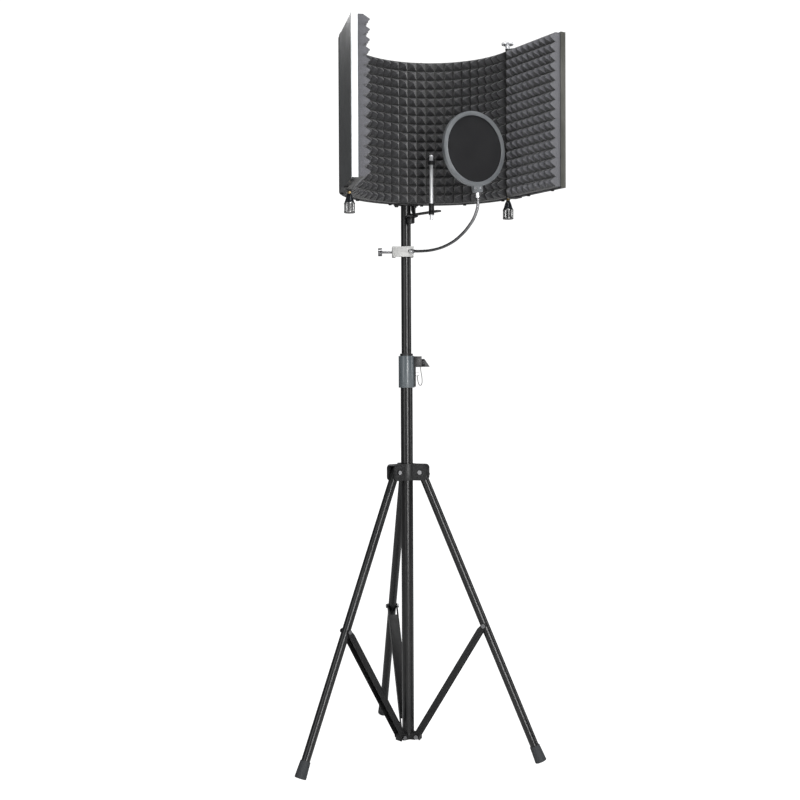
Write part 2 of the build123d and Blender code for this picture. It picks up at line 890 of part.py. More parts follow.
def rod_nuts():
    with BuildPart() as nuts:
        for side in ("left", "right"):
            with BuildSketch(Plane(origin=hinge_point(side) + Vector(0, 0, nut_top - rod_nut))):
                RegularPolygon(rod_nut_radius, 6)
                Circle(hinge_rod_radius, mode=Mode.SUBTRACT)
            extrude(amount=rod_nut)
    keep(nuts, "rod_nuts")


def hinge_knob(side):
    """Tapered clamp knob under a hinge: a cone on a broad barrel."""
    profile = [
        (0, knob_top),
        (knob_neck_radius, knob_top),
        (knob_cone_radius, knob_top - knob_cone),
        (knob_radius, knob_top - knob_cone - 1.5),
        (knob_radius, knob_top - knob_cone - knob_barrel),
        (0, knob_top - knob_cone - knob_barrel),
    ]
    origin = hinge_point(side)
    upright = Plane(origin=origin, x_dir=(1, 0, 0), z_dir=(0, -1, 0))
    with BuildPart() as knob:
        with BuildSketch(upright):
            with BuildLine():
                Polyline(*profile, close=True)
            make_face()
        revolve(axis=Axis(origin, (0, 0, 1)))
        with BuildSketch(Plane(origin=origin + Vector(0, 0, knob_top))):
            Circle(hinge_rod_radius + running_gap)
        extrude(amount=-knob_bore_depth, mode=Mode.SUBTRACT)
    keep(knob, f"{side}_hinge_knob")


def top_nut(side):
    """Thumb nut over a hinge: a neck under a broad disc."""
    origin = hinge_point(side) + Vector(0, 0, top_nut_bottom)
    with BuildPart() as nut:
        with BuildSketch(Plane(origin=origin)):
            Circle(top_nut_hub_radius)
        extrude(amount=top_nut_hub)
        with BuildSketch(Plane(origin=origin + Vector(0, 0, top_nut_hub))):
            Circle(top_nut_radius)
        extrude(amount=top_nut_disc)
        with BuildSketch(Plane(origin=origin)):
            Circle(hinge_rod_radius + running_gap)
        extrude(amount=top_nut_bore, mode=Mode.SUBTRACT)
    keep(nut, f"{side}_top_nut")


# ---- bracket, arm and stem ------------------------------------------------------
shelf_top = shield_bottom - shelf_drop
arm_top = shelf_top + arm_thick
thread_start = stem_top + lock_ring + 2 * moving_gap


def bracket_screw_points():
    offset = asin(bracket_screw_offset / shell_radius) * shell_radius
    return [arc_point(way * offset, rim_depth / 2) for way in (-1, 1)]


def shield_bracket():
    """Plate under the centre panel, a spigot in the mast and a hooked shelf beside it."""
    plate_top = shield_bottom + centre_rim_gap
    plate_bottom = plate_top - bracket_plate
    hook_outside = hook_inside + bracket_plate
    shelf_bottom = shelf_top - bracket_plate
    with BuildPart() as bracket:
        with BuildSketch(Plane.XY.offset(plate_bottom)):
            with BuildLine():
                Polyline(
                    (-bracket_half_width, -bracket_front + 6),
                    (-bracket_half_width, shield_back - 3),
                    (bracket_half_width, shield_back - 3),
                    (bracket_half_width, -bracket_front + 6),
                    (hook_outside, -bracket_front),
                    (-hook_outside, -bracket_front),
                    close=True,
                )
            make_face()
            with Locations(*bracket_screw_points()):
                Circle(bracket_screw_radius, mode=Mode.SUBTRACT)
        extrude(amount=bracket_plate)
        with BuildSketch(Plane.XY.offset(plate_bottom)):
            Circle(mast_radius - mast_wall - running_gap)
        extrude(amount=-spigot_length)
        with BuildSketch(Plane.YZ.offset(hook_inside)):
            with BuildLine():
                Polyline(
                    (-hook_front, shelf_bottom),
                    (-shelf_back, shelf_bottom),
                    (hook_back, plate_bottom - 8),
                    (hook_back, plate_bottom),
                    (-bracket_front, plate_bottom),
                    (-hook_front, plate_bottom - 6),
                    close=True,
                )
            make_face()
        extrude(amount=bracket_plate)
        with BuildSketch(Plane.XY.offset(shelf_bottom)) as shelf:
            with BuildLine():
                Polyline(
                    (shelf_left, -shelf_front),
                    (hook_outside, -shelf_front),
                    (hook_outside, -shelf_back),
                    (shelf_left, -shelf_back),
                    close=True,
                )
            make_face()
            with Locations(arm_pivot):
                Circle(arm_screw_radius + running_gap, mode=Mode.SUBTRACT)
        extrude(amount=bracket_plate)
    keep(bracket, "shield_bracket")


def arm_plane(z):
    """On the arm's pivot: x runs along the arm towards the stem."""
    return Plane(origin=(*arm_pivot, z), x_dir=polar(1, arm_angle), z_dir=(0, 0, 1))


def mic_arm():
    length = stem_offset + arm_tip
    with BuildPart() as arm:
        with BuildSketch(arm_plane(shelf_top)):
            with Locations((length / 2, 0)):
                SlotOverall(length + arm_width, arm_width)
            Circle(arm_screw_radius + running_gap, mode=Mode.SUBTRACT)
            with Locations((stem_offset, 0)):
                Circle(stem_radius, mode=Mode.SUBTRACT)
        extrude(amount=arm_thick)
    keep(arm, "mic_arm")


def arm_knob():
    """Clamp screw of the arm, with a round grip and one wing, under the shelf."""
    top = shelf_top - bracket_plate - moving_gap
    with BuildPart() as knob:
        with BuildSketch(arm_plane(top - arm_knob_height)):
            Circle(arm_knob_radius)
            with Locations((arm_wing_reach / 2, 0)):
                Rectangle(arm_wing_reach, arm_wing_thick)
        extrude(amount=arm_knob_height)
        with BuildSketch(arm_plane(top)):
            Circle(arm_screw_radius)
        extrude(amount=arm_top + screw_end - top)
    keep(knob, "arm_knob")


def stem_plane(z):
    point = arm_plane(z).from_local_coords((stem_offset, 0, 0))
    return Plane(origin=point)


def mic_stem():
    with BuildPart() as stem:
        with BuildSketch(stem_plane(shelf_top - stem_stud)):
            Circle(stem_radius)
        extrude(amount=stem_top + stem_stud - shelf_top)
        with BuildSketch(stem_plane(stem_top)):
            Circle(thread_root)
        extrude(amount=thread_start - stem_top)
        with BuildSketch(stem_plane(thread_start)):
            Circle(thread_radius)
        extrude(amount=thread_top - thread_start)
    keep(stem, "mic_stem")
    with BuildPart() as nuts:
        for start, height in (
            (arm_top, stem_nut_top), (shelf_top - stem_nut_bottom, stem_nut_bottom)
        ):
            with BuildSketch(stem_plane(start)):
                ring(stem_nut_radius, stem_radius)
            extrude(amount=height)
    keep(nuts, "stem_nuts")
    with BuildPart() as collar:
        with BuildSketch(stem_plane(stem_top + moving_gap)):
            ring(lock_ring_radius, thread_root + running_gap)
        extrude(amount=lock_ring)
    keep(collar, "thread_lock_ring")


# ---- pop filter -------------------------------------------------------------------
sideways = filter_angle + 90


def filter_plane(forward=0.0):
    """In the filter's joint face: x runs sideways, y up, and the normal away from the mast."""
    roll = radians(filter_roll)
    return Plane(
        origin=polar(filter_distance + forward, filter_angle, filter_height),
        x_dir=polar(cos(roll), sideways, sin(roll)),
        z_dir=polar(1, filter_angle),
    )


def filter_ring(name, way):
    """Half of the hoop, stepped inside to hold its mesh, with half of the boss."""
    step = mesh_spread + mesh_thick / 2
    with BuildPart() as hoop:
        with BuildSketch(filter_plane()):
            Circle(filter_radius)
            with Locations((0, -(boss_top + boss_bottom) / 2)):
                RectangleRounded(boss_width, boss_bottom - boss_top, 3)
            Circle(mesh_edge, mode=Mode.SUBTRACT)
            with Locations(*[(way_x * boss_screw_x, -boss_screw_y) for way_x in (-1, 1)]):
                Circle(boss_screw_radius, mode=Mode.SUBTRACT)
        extrude(amount=way * ring_thick)
        with BuildSketch(filter_plane(way * step)):
            ring(mesh_edge, filter_inner)
        extrude(amount=way * (ring_thick - step))
        with BuildSketch(Plane(origin=goose_end() + goose_in() * moving_gap, z_dir=goose_in())):
            Circle(goose_radius + running_gap)
        extrude(amount=-2 * goose_seat, mode=Mode.SUBTRACT)
    keep(hoop, name)


def goose_end():
    return filter_plane().from_local_coords((0, goose_seat - boss_bottom, 0))


def filter_meshes():
    with BuildPart() as meshes:
        for way in (1, -1):
            with BuildSketch(filter_plane(way * (mesh_spread - mesh_thick / 2))):
                Circle(mesh_edge)
            extrude(amount=way * mesh_thick)
    keep(meshes, "filter_meshes")


def filter_screws():
    with BuildPart() as screws:
        for way_x in (-1, 1):
            with BuildSketch(filter_plane(ring_thick)):
                with Locations((way_x * boss_screw_x, -boss_screw_y)):
                    Circle(boss_screw_head_radius)
            extrude(amount=boss_screw_head)
            with BuildSketch(filter_plane(-ring_thick)):
                with Locations((way_x * boss_screw_x, -boss_screw_y)):
                    Circle(boss_screw_radius)
            extrude(amount=2 * ring_thick)
    keep(screws, "filter_screws")


def clamp_plane(z):
    """On the mast's axis: x runs from the thumb disc to the fixed jaw, y to the back."""
    return Plane(origin=(0, 0, z), x_dir=polar(1, clamp_angle), z_dir=(0, 0, 1))


def pop_clamp():
    """C-shaped clamp round the front of the mast."""
    jaw = mast_radius + jaw_gap
    front = clamp_web_gap + clamp_web
    with BuildPart() as clamp:
        with BuildSketch(clamp_plane(clamp_height - clamp_tall / 2)):
            with BuildLine():
                Polyline(
                    (jaw + jaw_wall, -front),
                    (jaw + jaw_wall, clamp_depth),
                    (jaw + 1, clamp_depth),
                    (jaw, 0),
                    (jaw, -clamp_web_gap),
                    (-clamp_mouth, -clamp_web_gap),
                    (-clamp_mouth, clamp_depth),
                    (-clamp_mouth - clamp_wall, clamp_depth),
                    (-clamp_mouth - clamp_wall, -front),
                    close=True,
                )
            make_face()
        extrude(amount=clamp_tall)
        start = outward_plane(clamp_angle + 180, 0, clamp_height)
        with BuildSketch(start):
            Circle(clamp_screw_radius + running_gap)
        extrude(amount=2 * thumb_start, mode=Mode.SUBTRACT)
        with BuildSketch(Plane(origin=goose_start(), z_dir=goose_out())):
            Circle(goose_radius)
        extrude(amount=ferrule_length, both=True, mode=Mode.SUBTRACT)
    keep(clamp, "pop_clamp")


def pop_clamp_screw():
    """Thumb disc, screw and pressure pad."""
    with BuildPart() as screw:
        for start, end, radius in (
            (mast_radius + jaw_gap, mast_radius + jaw_gap + clamp_pad, clamp_pad_radius),
            (mast_radius + jaw_gap, thumb_start, clamp_screw_radius),
            (thumb_start, thumb_start + thumb_disc, thumb_radius),
        ):
            with BuildSketch(outward_plane(clamp_angle + 180, start, clamp_height)):
                Circle(radius)
            extrude(amount=end - start)
    keep(screw, "pop_clamp_screw")


# The gooseneck's route: distance from the mast's axis, height, and distance aside.
goose_route = [
    (19.5, 1171.0, -2.0),
    (57.5, 1167.2, -1.0),
    (102.0, 1165.0, 1.0),
    (149.5, 1168.4, 3.4),
    (192.5, 1179.0, 5.6),
    (228.5, 1196.8, 7.6),
    (255.8, 1219.8, 10.2),
    (268.6, 1245.4, 12.2),
]


def goose_points():
    points = [
        polar(reach, filter_angle, height) + polar(aside, sideways)
        for reach, height, aside in goose_route
    ]
    return points + [goose_end()]


def goose_start():
    return goose_points()[0]


def goose_out():
    points = goose_points()
    return (points[1] - points[0]).normalized()


def goose_in():
    points = goose_points()
    return (points[-1] - points[-2]).normalized()


def gooseneck():
    tube_along("gooseneck", [tuple(point) for point in goose_points()], goose_radius)


def goose_ferrules():
    """A sleeve at each end of the gooseneck."""
    lower = goose_start() + goose_out() * 4
    upper = goose_end() - goose_in() * (goose_seat + 1)
    with BuildPart() as sleeves:
        for point, along in ((lower, goose_out()), (upper, -goose_in())):
            with BuildSketch(Plane(origin=point, z_dir=along)):
                ring(ferrule_radius, goose_radius)
            extrude(amount=ferrule_length)
    keep(sleeves, "goose_ferrules")


# ---- build -------------------------------------------------------------------------
def build_stand():
    lower_tube()
    base_hub()
    leg_hub()
    leg_hub_pins()
    leg_hub_knob()
    for side, angle in leg_angles.items():
        leg(side, angle)
        foot(side, angle)
        strut(side, angle)


def build_mast():
    clutch_collar()
    clutch_block()
    clutch_bushing()
    clutch_knob()
    locking_pin()
    pin_lanyard()
    mast_tube()
    mast_stop()


def build_shield():
    centre_shell()
    centre_foam()
    shield_screws()
    rod_nuts()
    for side in ("left", "right"):
        wing_shell(side)
        end_strip(side)
        wing_foam(side)
        hinge_rod(side)
        hinge_knob(side)
        top_nut(side)


def build_arm_and_filter():
    shield_bracket()
    mic_arm()
    arm_knob()
    mic_stem()
    filter_ring("filter_front_ring", 1)
    filter_ring("filter_back_ring", -1)
    filter_meshes()
    filter_screws()
    pop_clamp()
    pop_clamp_screw()
    gooseneck()
    goose_ferrules()


build_stand()
build_mast()
build_shield()
build_arm_and_filter()
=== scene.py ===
# %% [markdown]
# # A microphone isolation shield on its stand
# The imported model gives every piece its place, in metres, with the mast standing on the
# origin and the shield opening towards -Y. This script keeps that frame as it is. It gives
# every piece its finish, and models again the pieces whose look depends on detail that the
# engineering solids leave out: foam, mesh, knurls, threads and rounded edges.

# %% Load the frame
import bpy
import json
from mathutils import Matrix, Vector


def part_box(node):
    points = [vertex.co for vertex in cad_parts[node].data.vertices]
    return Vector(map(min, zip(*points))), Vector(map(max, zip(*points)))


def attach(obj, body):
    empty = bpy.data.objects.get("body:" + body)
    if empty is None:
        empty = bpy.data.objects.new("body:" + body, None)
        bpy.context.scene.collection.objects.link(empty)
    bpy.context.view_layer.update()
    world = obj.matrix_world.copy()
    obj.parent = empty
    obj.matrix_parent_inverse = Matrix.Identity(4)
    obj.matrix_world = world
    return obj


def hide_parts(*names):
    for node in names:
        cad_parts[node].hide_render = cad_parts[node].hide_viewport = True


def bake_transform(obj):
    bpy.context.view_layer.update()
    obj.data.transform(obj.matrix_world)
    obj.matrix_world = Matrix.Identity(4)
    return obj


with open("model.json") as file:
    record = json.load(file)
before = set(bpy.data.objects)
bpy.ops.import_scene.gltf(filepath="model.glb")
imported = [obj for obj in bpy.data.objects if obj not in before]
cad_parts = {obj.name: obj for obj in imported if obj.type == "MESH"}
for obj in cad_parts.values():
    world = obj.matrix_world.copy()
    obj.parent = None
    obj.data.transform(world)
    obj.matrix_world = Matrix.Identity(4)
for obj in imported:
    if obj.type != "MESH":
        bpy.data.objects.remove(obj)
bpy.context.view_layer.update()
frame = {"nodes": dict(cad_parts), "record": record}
import bpy
import json
from math import atan2, cos, hypot, pi, radians, sin
from mathutils import Matrix, Vector
nodes = frame["nodes"]
print("nodes", len(nodes))

# %% [markdown]
# The camera stands 2.8 m away, a little to the left of the shield's middle line and at the
# height of the clutch. A long lens keeps the tubes upright, as a product shot does.

# %% Camera
camera_data = bpy.data.cameras.new("camera")
camera_data.sensor_width = 36.0
camera_data.lens = 1216.7 * 36.0 / 800
camera_data.clip_end = 50
camera = bpy.data.objects.new("camera", camera_data)
bpy.context.scene.collection.objects.link(camera)
turn, tilt, roll = radians(-18.07), radians(0.98), radians(0.275)
right_way = Vector((cos(turn), sin(turn), 0))
forward = Vector((-sin(turn), cos(turn), 0))
stand_off, aside = 2.8468, 0.0156
camera.location = -aside * right_way - stand_off * forward + Vector((0, 0, 0.8738))
camera.rotation_euler = (
    Matrix.Rotation(turn, 3, "Z")
    @ Matrix.Rotation(pi / 2 - tilt, 3, "X")
    @ Matrix.Rotation(-roll, 3, "Z")
).to_euler()
bpy.context.scene.camera = camera
print("camera at", [round(v, 3) for v in camera.location])

# %% [markdown]
# The clutch's pull pin is kept on a thin tether, which leaves the pin's head, hangs in a
# loop and goes back up into the clutch's moulded block. A NURBS curve with a round bevel
# bends as smoothly as such a wire does. It is made a tube.

# %% The pull pin's tether
clutch_turn = radians(-15)
clutch_out = Vector((cos(clutch_turn), sin(clutch_turn), 0))
clutch_side = Vector((-sin(clutch_turn), cos(clutch_turn), 0))
tether_route = [
    (25.5, 880.8, 0.0), (25.7, 875.0, 0.3), (26.7, 868.8, 0.8), (28.0, 863.2, 1.0),
    (30.6, 858.9, 0.9), (34.3, 859.4, 0.6), (36.2, 864.2, 0.4), (36.6, 870.5, 0.1),
    (36.0, 878.4, -0.1), (34.6, 886.8, -0.2), (33.2, 894.6, -0.1), (32.7, 901.6, 0.0),
]


def smooth_curve(name, points, thickness, sides):
    """A round NURBS curve through control points."""
    data = bpy.data.curves.new(name, "CURVE")
    data.dimensions = "3D"
    data.resolution_u = 12
    data.bevel_depth = thickness
    data.bevel_resolution = sides
    data.use_fill_caps = True
    spline = data.splines.new("NURBS")
    spline.points.add(len(points) - 1)
    for point, place in zip(spline.points, points):
        point.co = (*place, 1)
    spline.order_u = 3
    spline.use_endpoint_u = True
    return data


def line_of(data):
    """The points of a curve's own line, in order."""
    bare = data.copy()
    bare.bevel_depth = 0
    holder = bpy.data.objects.new("holder", bare)
    bpy.context.scene.collection.objects.link(holder)
    bpy.context.view_layer.update()
    mesh = bpy.data.meshes.new_from_object(holder)
    points = [vertex.co.copy() for vertex in mesh.vertices]
    bpy.data.objects.remove(holder)
    bpy.data.curves.remove(bare)
    bpy.data.meshes.remove(mesh)
    return points


tether_points = [
    (clutch_out * reach + clutch_side * off + Vector((0, 0, height))) / 1000
    for reach, height, off in tether_route
]
tether_curve = smooth_curve("tether", tether_points, 0.0008, 3)
tether_line = line_of(tether_curve)
tether_length = sum((b - a).length for a, b in zip(tether_line, tether_line[1:]))
tether_holder = bpy.data.objects.new("tether_holder", tether_curve)
bpy.context.scene.collection.objects.link(tether_holder)
bpy.context.view_layer.update()
tether = bpy.data.objects.new("tether", bpy.data.meshes.new_from_object(tether_holder))
bpy.context.scene.collection.objects.link(tether)
bpy.data.objects.remove(tether_holder)
tuple(tether_points[0])
tuple(tether_points[-1])
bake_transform(tether)
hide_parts("pin_lanyard")
tuple(tether_points[0])
[tuple(point) for point in tether_line]
print("tether length", round(tether_length, 4))

# %% [markdown]
# Two effects are used by nearly every finish, so they are node groups. "fine grain" is the
# small unevenness of paint, rubber or moulded plastic, as a height for a Bump node. "soft
# patches" is the slow change across a surface that handling and polishing leave.

# %% Shared effects
def new_group(name, inputs, outputs):
    group = bpy.data.node_groups.new(name, "ShaderNodeTree")
    for label, default in inputs:
        socket = group.interface.new_socket(label, in_out="INPUT", socket_type="NodeSocketFloat")
        socket.default_value = default
    for label in outputs:
        group.interface.new_socket(label, in_out="OUTPUT", socket_type="NodeSocketFloat")
    enter = group.nodes.new("NodeGroupInput")
    leave = group.nodes.new("NodeGroupOutput")
    coords = group.nodes.new("ShaderNodeTexCoord")
    return group, enter, leave, coords


def build_grain():
    group, enter, leave, coords = new_group(
        "fine grain", [("Scale", 900.0), ("Coarse Scale", 250.0)], ["Height"])
    fine = group.nodes.new("ShaderNodeTexNoise")
    coarse = group.nodes.new("ShaderNodeTexNoise")
    both = group.nodes.new("ShaderNodeMath")
    both.operation = "MULTIPLY_ADD"
    both.inputs[1].default_value = 0.5
    for noise, label in ((fine, "Scale"), (coarse, "Coarse Scale")):
        group.links.new(coords.outputs["Object"], noise.inputs["Vector"])
        group.links.new(enter.outputs[label], noise.inputs["Scale"])
    group.links.new(coarse.outputs["Fac"], both.inputs[0])
    group.links.new(fine.outputs["Fac"], both.inputs[2])
    group.links.new(both.outputs[0], leave.inputs["Height"])
    return group


def build_patches():
    group, enter, leave, coords = new_group("soft patches", [("Scale", 14.0)], ["Mask"])
    noise = group.nodes.new("ShaderNodeTexNoise")
    noise.inputs["Detail"].default_value = 3.0
    spread = group.nodes.new("ShaderNodeMapRange")
    spread.inputs["From Min"].default_value = 0.35
    spread.inputs["From Max"].default_value = 0.65
    group.links.new(coords.outputs["Object"], noise.inputs["Vector"])
    group.links.new(enter.outputs["Scale"], noise.inputs["Scale"])
    group.links.new(noise.outputs["Fac"], spread.inputs["Value"])
    group.links.new(spread.outputs["Result"], leave.inputs["Mask"])
    return group


grain = build_grain()
patches = build_patches()
print("groups", grain.name, patches.name)

# %% [markdown]
# Each finish is one Principled shader. Its metal, coat and sheen are fixed numbers, and only
# colour, roughness and relief change over the surface, through the two groups.

# %% A finish
def finish(name, dark, light, smooth, rough, metal=0.0, coat=0.0, coat_rough=0.05,
           relief=0.05, depth=0.0002, scale=900.0, coarse=250.0, patch=14.0, level=0.5):
    """A material between two colours and two roughnesses, with a fine relief."""
    material = bpy.data.materials.new(name)
    material.use_nodes = True
    tree = material.node_tree
    shader = tree.nodes["Principled BSDF"]
    shader.inputs["Metallic"].default_value = metal
    shader.inputs["Coat Weight"].default_value = coat
    shader.inputs["Coat Roughness"].default_value = coat_rough
    shader.inputs["Specular IOR Level"].default_value = level
    mask = tree.nodes.new("ShaderNodeGroup")
    mask.node_tree = patches
    mask.inputs["Scale"].default_value = patch
    height = tree.nodes.new("ShaderNodeGroup")
    height.node_tree = grain
    height.inputs["Scale"].default_value = scale
    height.inputs["Coarse Scale"].default_value = coarse
    colour = tree.nodes.new("ShaderNodeMix")
    colour.data_type = "RGBA"
    colour.inputs["A"].default_value = (*dark, 1)
    colour.inputs["B"].default_value = (*light, 1)
    gloss = tree.nodes.new("ShaderNodeMapRange")
    gloss.inputs["To Min"].default_value = smooth
    gloss.inputs["To Max"].default_value = rough
    bump = tree.nodes.new("ShaderNodeBump")
    bump.inputs["Strength"].default_value = relief
    bump.inputs["Distance"].default_value = depth
    link = tree.links.new
    link(mask.outputs["Mask"], colour.inputs["Factor"])
    link(mask.outputs["Mask"], gloss.inputs["Value"])
    link(colour.outputs["Result"], shader.inputs["Base Color"])
    link(gloss.outputs["Result"], shader.inputs["Roughness"])
    link(height.outputs["Height"], bump.inputs["Height"])
    link(bump.outputs["Normal"], shader.inputs["Normal"])
    return material


# %% [markdown]
# The stand's tubes are satin enamel: a nearly black base under a thin clear coat, which draws
# one soft line down each tube. Stampings and moulded pieces are duller and carry more grain.

# %% The stand's finishes
tube_enamel = finish("tube enamel", (0.004, 0.004, 0.0045), (0.007, 0.007, 0.007), 0.30, 0.36,
                     coat=0.15, coat_rough=0.12, relief=0.0, level=0.35)
satin_black = finish("satin black coat", (0.004, 0.004, 0.0045), (0.008, 0.008, 0.008),
                     0.38, 0.50, relief=0.15, scale=1400.0, level=0.3)
moulded_black = finish("moulded black", (0.006, 0.006, 0.0065), (0.012, 0.012, 0.013),
                       0.36, 0.50, relief=0.3, scale=1600.0, coarse=600.0, level=0.4)
foot_rubber = finish("foot rubber", (0.014, 0.016, 0.018), (0.022, 0.024, 0.027), 0.60, 0.78,
                     relief=0.6, scale=1500.0, coarse=300.0)
collar_paint = finish("clutch collar paint", (0.060, 0.072, 0.080), (0.085, 0.098, 0.106),
                      0.30, 0.42, coat=0.3, relief=0.2, scale=1500.0)
bright_chrome = finish("bright chrome", (0.74, 0.75, 0.77), (0.84, 0.84, 0.85), 0.16, 0.26,
                       metal=0.92, relief=0.02)
satin_nickel = finish("satin nickel", (0.66, 0.67, 0.69), (0.78, 0.78, 0.79), 0.34, 0.44,
                      metal=0.55, relief=0.02)
brass_metal = finish("machined brass", (0.50, 0.34, 0.15), (0.62, 0.45, 0.22), 0.22, 0.34,
                     metal=1.0, relief=0.1)

# %% [markdown]
# The shield is coated sheet, its end trims are anodised, and the knobs are knurled steel
# with a dark cone. The clamp is satin cast metal, and the gooseneck is dark chrome.

# %% The shield's and filter's finishes
shell_coat = finish("shell coat", (0.014, 0.014, 0.015), (0.024, 0.024, 0.025), 0.32, 0.46,
                    coat=0.15, coat_rough=0.2, relief=0.3, scale=1600.0)
bright_trim = finish("bright end trim", (0.60, 0.62, 0.63), (0.68, 0.70, 0.71), 0.46, 0.56,
                     metal=0.25, relief=0.15, scale=1800.0)
# Painted shade: the right end trim is given a darker copy of the trim's grey.
shaded_trim = finish("shaded end trim", (0.060, 0.060, 0.052), (0.085, 0.084, 0.074), 0.38, 0.52,
                   metal=0.3, relief=0.15)
knurled_steel = finish("knurled steel", (0.16, 0.16, 0.16), (0.24, 0.24, 0.24), 0.26, 0.40,
                       metal=1.0, relief=0.3)
cast_clamp = finish("cast clamp", (0.30, 0.30, 0.295), (0.40, 0.40, 0.39), 0.46, 0.58,
                    metal=0.35, relief=0.4, scale=1200.0)
dark_chrome = finish("dark chrome", (0.16, 0.16, 0.165), (0.24, 0.24, 0.245), 0.16, 0.26,
                     metal=1.0, relief=0.05)
hoop_plastic = finish("hoop plastic", (0.16, 0.17, 0.18), (0.22, 0.23, 0.24), 0.26, 0.36,
                      metal=0.5, coat=0.4, relief=0.1, scale=1400.0)
cone_finish = finish("dark knob cone", (0.020, 0.022, 0.026), (0.035, 0.038, 0.044), 0.22, 0.32,
                     metal=0.6, relief=0.1)

# %% Give the frame's pieces their finishes
wearing = {
    tube_enamel: ["lower_tube", "mast_tube", "left_leg", "right_leg", "back_leg"],
    satin_black: ["base_hub", "left_strut", "right_strut", "back_strut", "shield_bracket",
                  "mic_arm", "stem_nuts", "centre_screws", "left_rim_screws",
                  "right_rim_screws"],
    moulded_black: ["leg_hub", "leg_hub_knob", "clutch_block", "clutch_bushing", "clutch_knob",
                    "mast_stop", "arm_knob", "thread_lock_ring"],
    foot_rubber: ["left_foot", "right_foot", "back_foot"],
    collar_paint: ["clutch_collar"],
    dark_chrome: ["leg_hub_pins", "left_strut_bolt", "right_strut_bolt", "back_strut_bolt",
                  "left_base_bolt", "right_base_bolt", "back_base_bolt", "gooseneck",
                  "pop_clamp_screw", "left_hinge_rod", "right_hinge_rod"],
    bright_chrome: ["locking_pin", "filter_screws", "goose_ferrules"],
    satin_nickel: ["mic_stem", "left_top_nut", "right_top_nut"],
    brass_metal: ["rod_nuts"],
    shell_coat: ["centre_shell", "left_wing_shell", "right_wing_shell"],
    bright_trim: ["left_end_strip"],
    shaded_trim: ["right_end_strip"],
    knurled_steel: ["left_hinge_knob", "right_hinge_knob"],
    cast_clamp: ["pop_clamp"],
    hoop_plastic: ["filter_front_ring", "filter_back_ring"],
}
finish_of = {}
for material, names in wearing.items():
    for name in names:
        nodes[name].data.materials.clear()
        nodes[name].data.materials.append(material)
        finish_of[name] = material
tether.data.materials.append(moulded_black)
print("dressed", len(finish_of))

# %% [markdown]
# Modelling by hand needs a few habits: start with nothing selected, put a finished piece's
# place into its mesh, and pick faces by where they are. These helpers do that.

# %% Modelling helpers
body_of = {name: body for body, names in frame["record"]["behaviour"]["bodies"].items()
           for name in names}


def clear_selection():
    if bpy.context.object and bpy.context.object.mode != "OBJECT":
        bpy.ops.object.mode_set(mode="OBJECT")
    bpy.ops.object.select_all(action="DESELECT")


def choose(piece):
    clear_selection()
    piece.select_set(True)
    bpy.context.view_layer.objects.active = piece


def pick_faces(test):
    """In edit mode, select the faces whose middle passes a test."""
    piece = bpy.context.object
    bpy.ops.mesh.select_mode(type="FACE")
    bpy.ops.mesh.select_all(action="DESELECT")
    bpy.ops.object.mode_set(mode="OBJECT")
    for face in piece.data.polygons:
        face.select = test(face.center)
    bpy.ops.object.mode_set(mode="EDIT")


def apply_all(piece):
    choose(piece)
    for modifier in list(piece.modifiers):
        bpy.ops.object.modifier_apply(modifier=modifier.name)


def settle(piece, place):
    """Moves a piece by a matrix, puts its place in its mesh and turns its faces outwards."""
    piece.matrix_world = place @ piece.matrix_world
    choose(piece)
    bpy.ops.object.transform_apply(location=True, rotation=True, scale=True)
    bpy.ops.object.mode_set(mode="EDIT")
    bpy.ops.mesh.select_all(action="SELECT")
    bpy.ops.mesh.remove_doubles(threshold=0.000005)
    bpy.ops.mesh.normals_make_consistent(inside=False)
    bpy.ops.object.mode_set(mode="OBJECT")


def stands_for(piece, node, material=None, angle=35):
    """Gives a finished piece its finish, shading and body, and hides its CAD node."""
    choose(piece)
    piece.data.materials.clear()
    piece.data.materials.append(material or finish_of[node])
    bpy.ops.object.shade_smooth_by_angle(angle=radians(angle))
    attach(piece, body_of[node])
    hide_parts(node)
    print(piece.name, len(piece.data.polygons), "faces")


# %% [markdown]
# A real edge is never perfectly sharp, and its small round catches a line of light. The
# stampings and mouldings keep their shape from the frame, and a copy of each one gets its
# triangles merged back into flat faces and its edges bevelled.

# %% Rounded edges
def softened(node, width, name):
    """A copy of a frame's piece with merged faces and rounded edges."""
    piece = bpy.data.objects.new(name, nodes[node].data.copy())
    bpy.context.scene.collection.objects.link(piece)
    choose(piece)
    bpy.ops.object.mode_set(mode="EDIT")
    bpy.ops.mesh.select_all(action="SELECT")
    bpy.ops.mesh.remove_doubles(threshold=0.00001)
    bpy.ops.mesh.customdata_custom_splitnormals_clear()
    bpy.ops.mesh.dissolve_limited(angle_limit=radians(0.6))
    bpy.ops.object.mode_set(mode="OBJECT")
    bevel = piece.modifiers.new("edge", "BEVEL")
    bevel.width = width
    bevel.segments = 2
    bevel.limit_method = "ANGLE"
    bevel.angle_limit = radians(30)
    apply_all(piece)
    stands_for(piece, node)


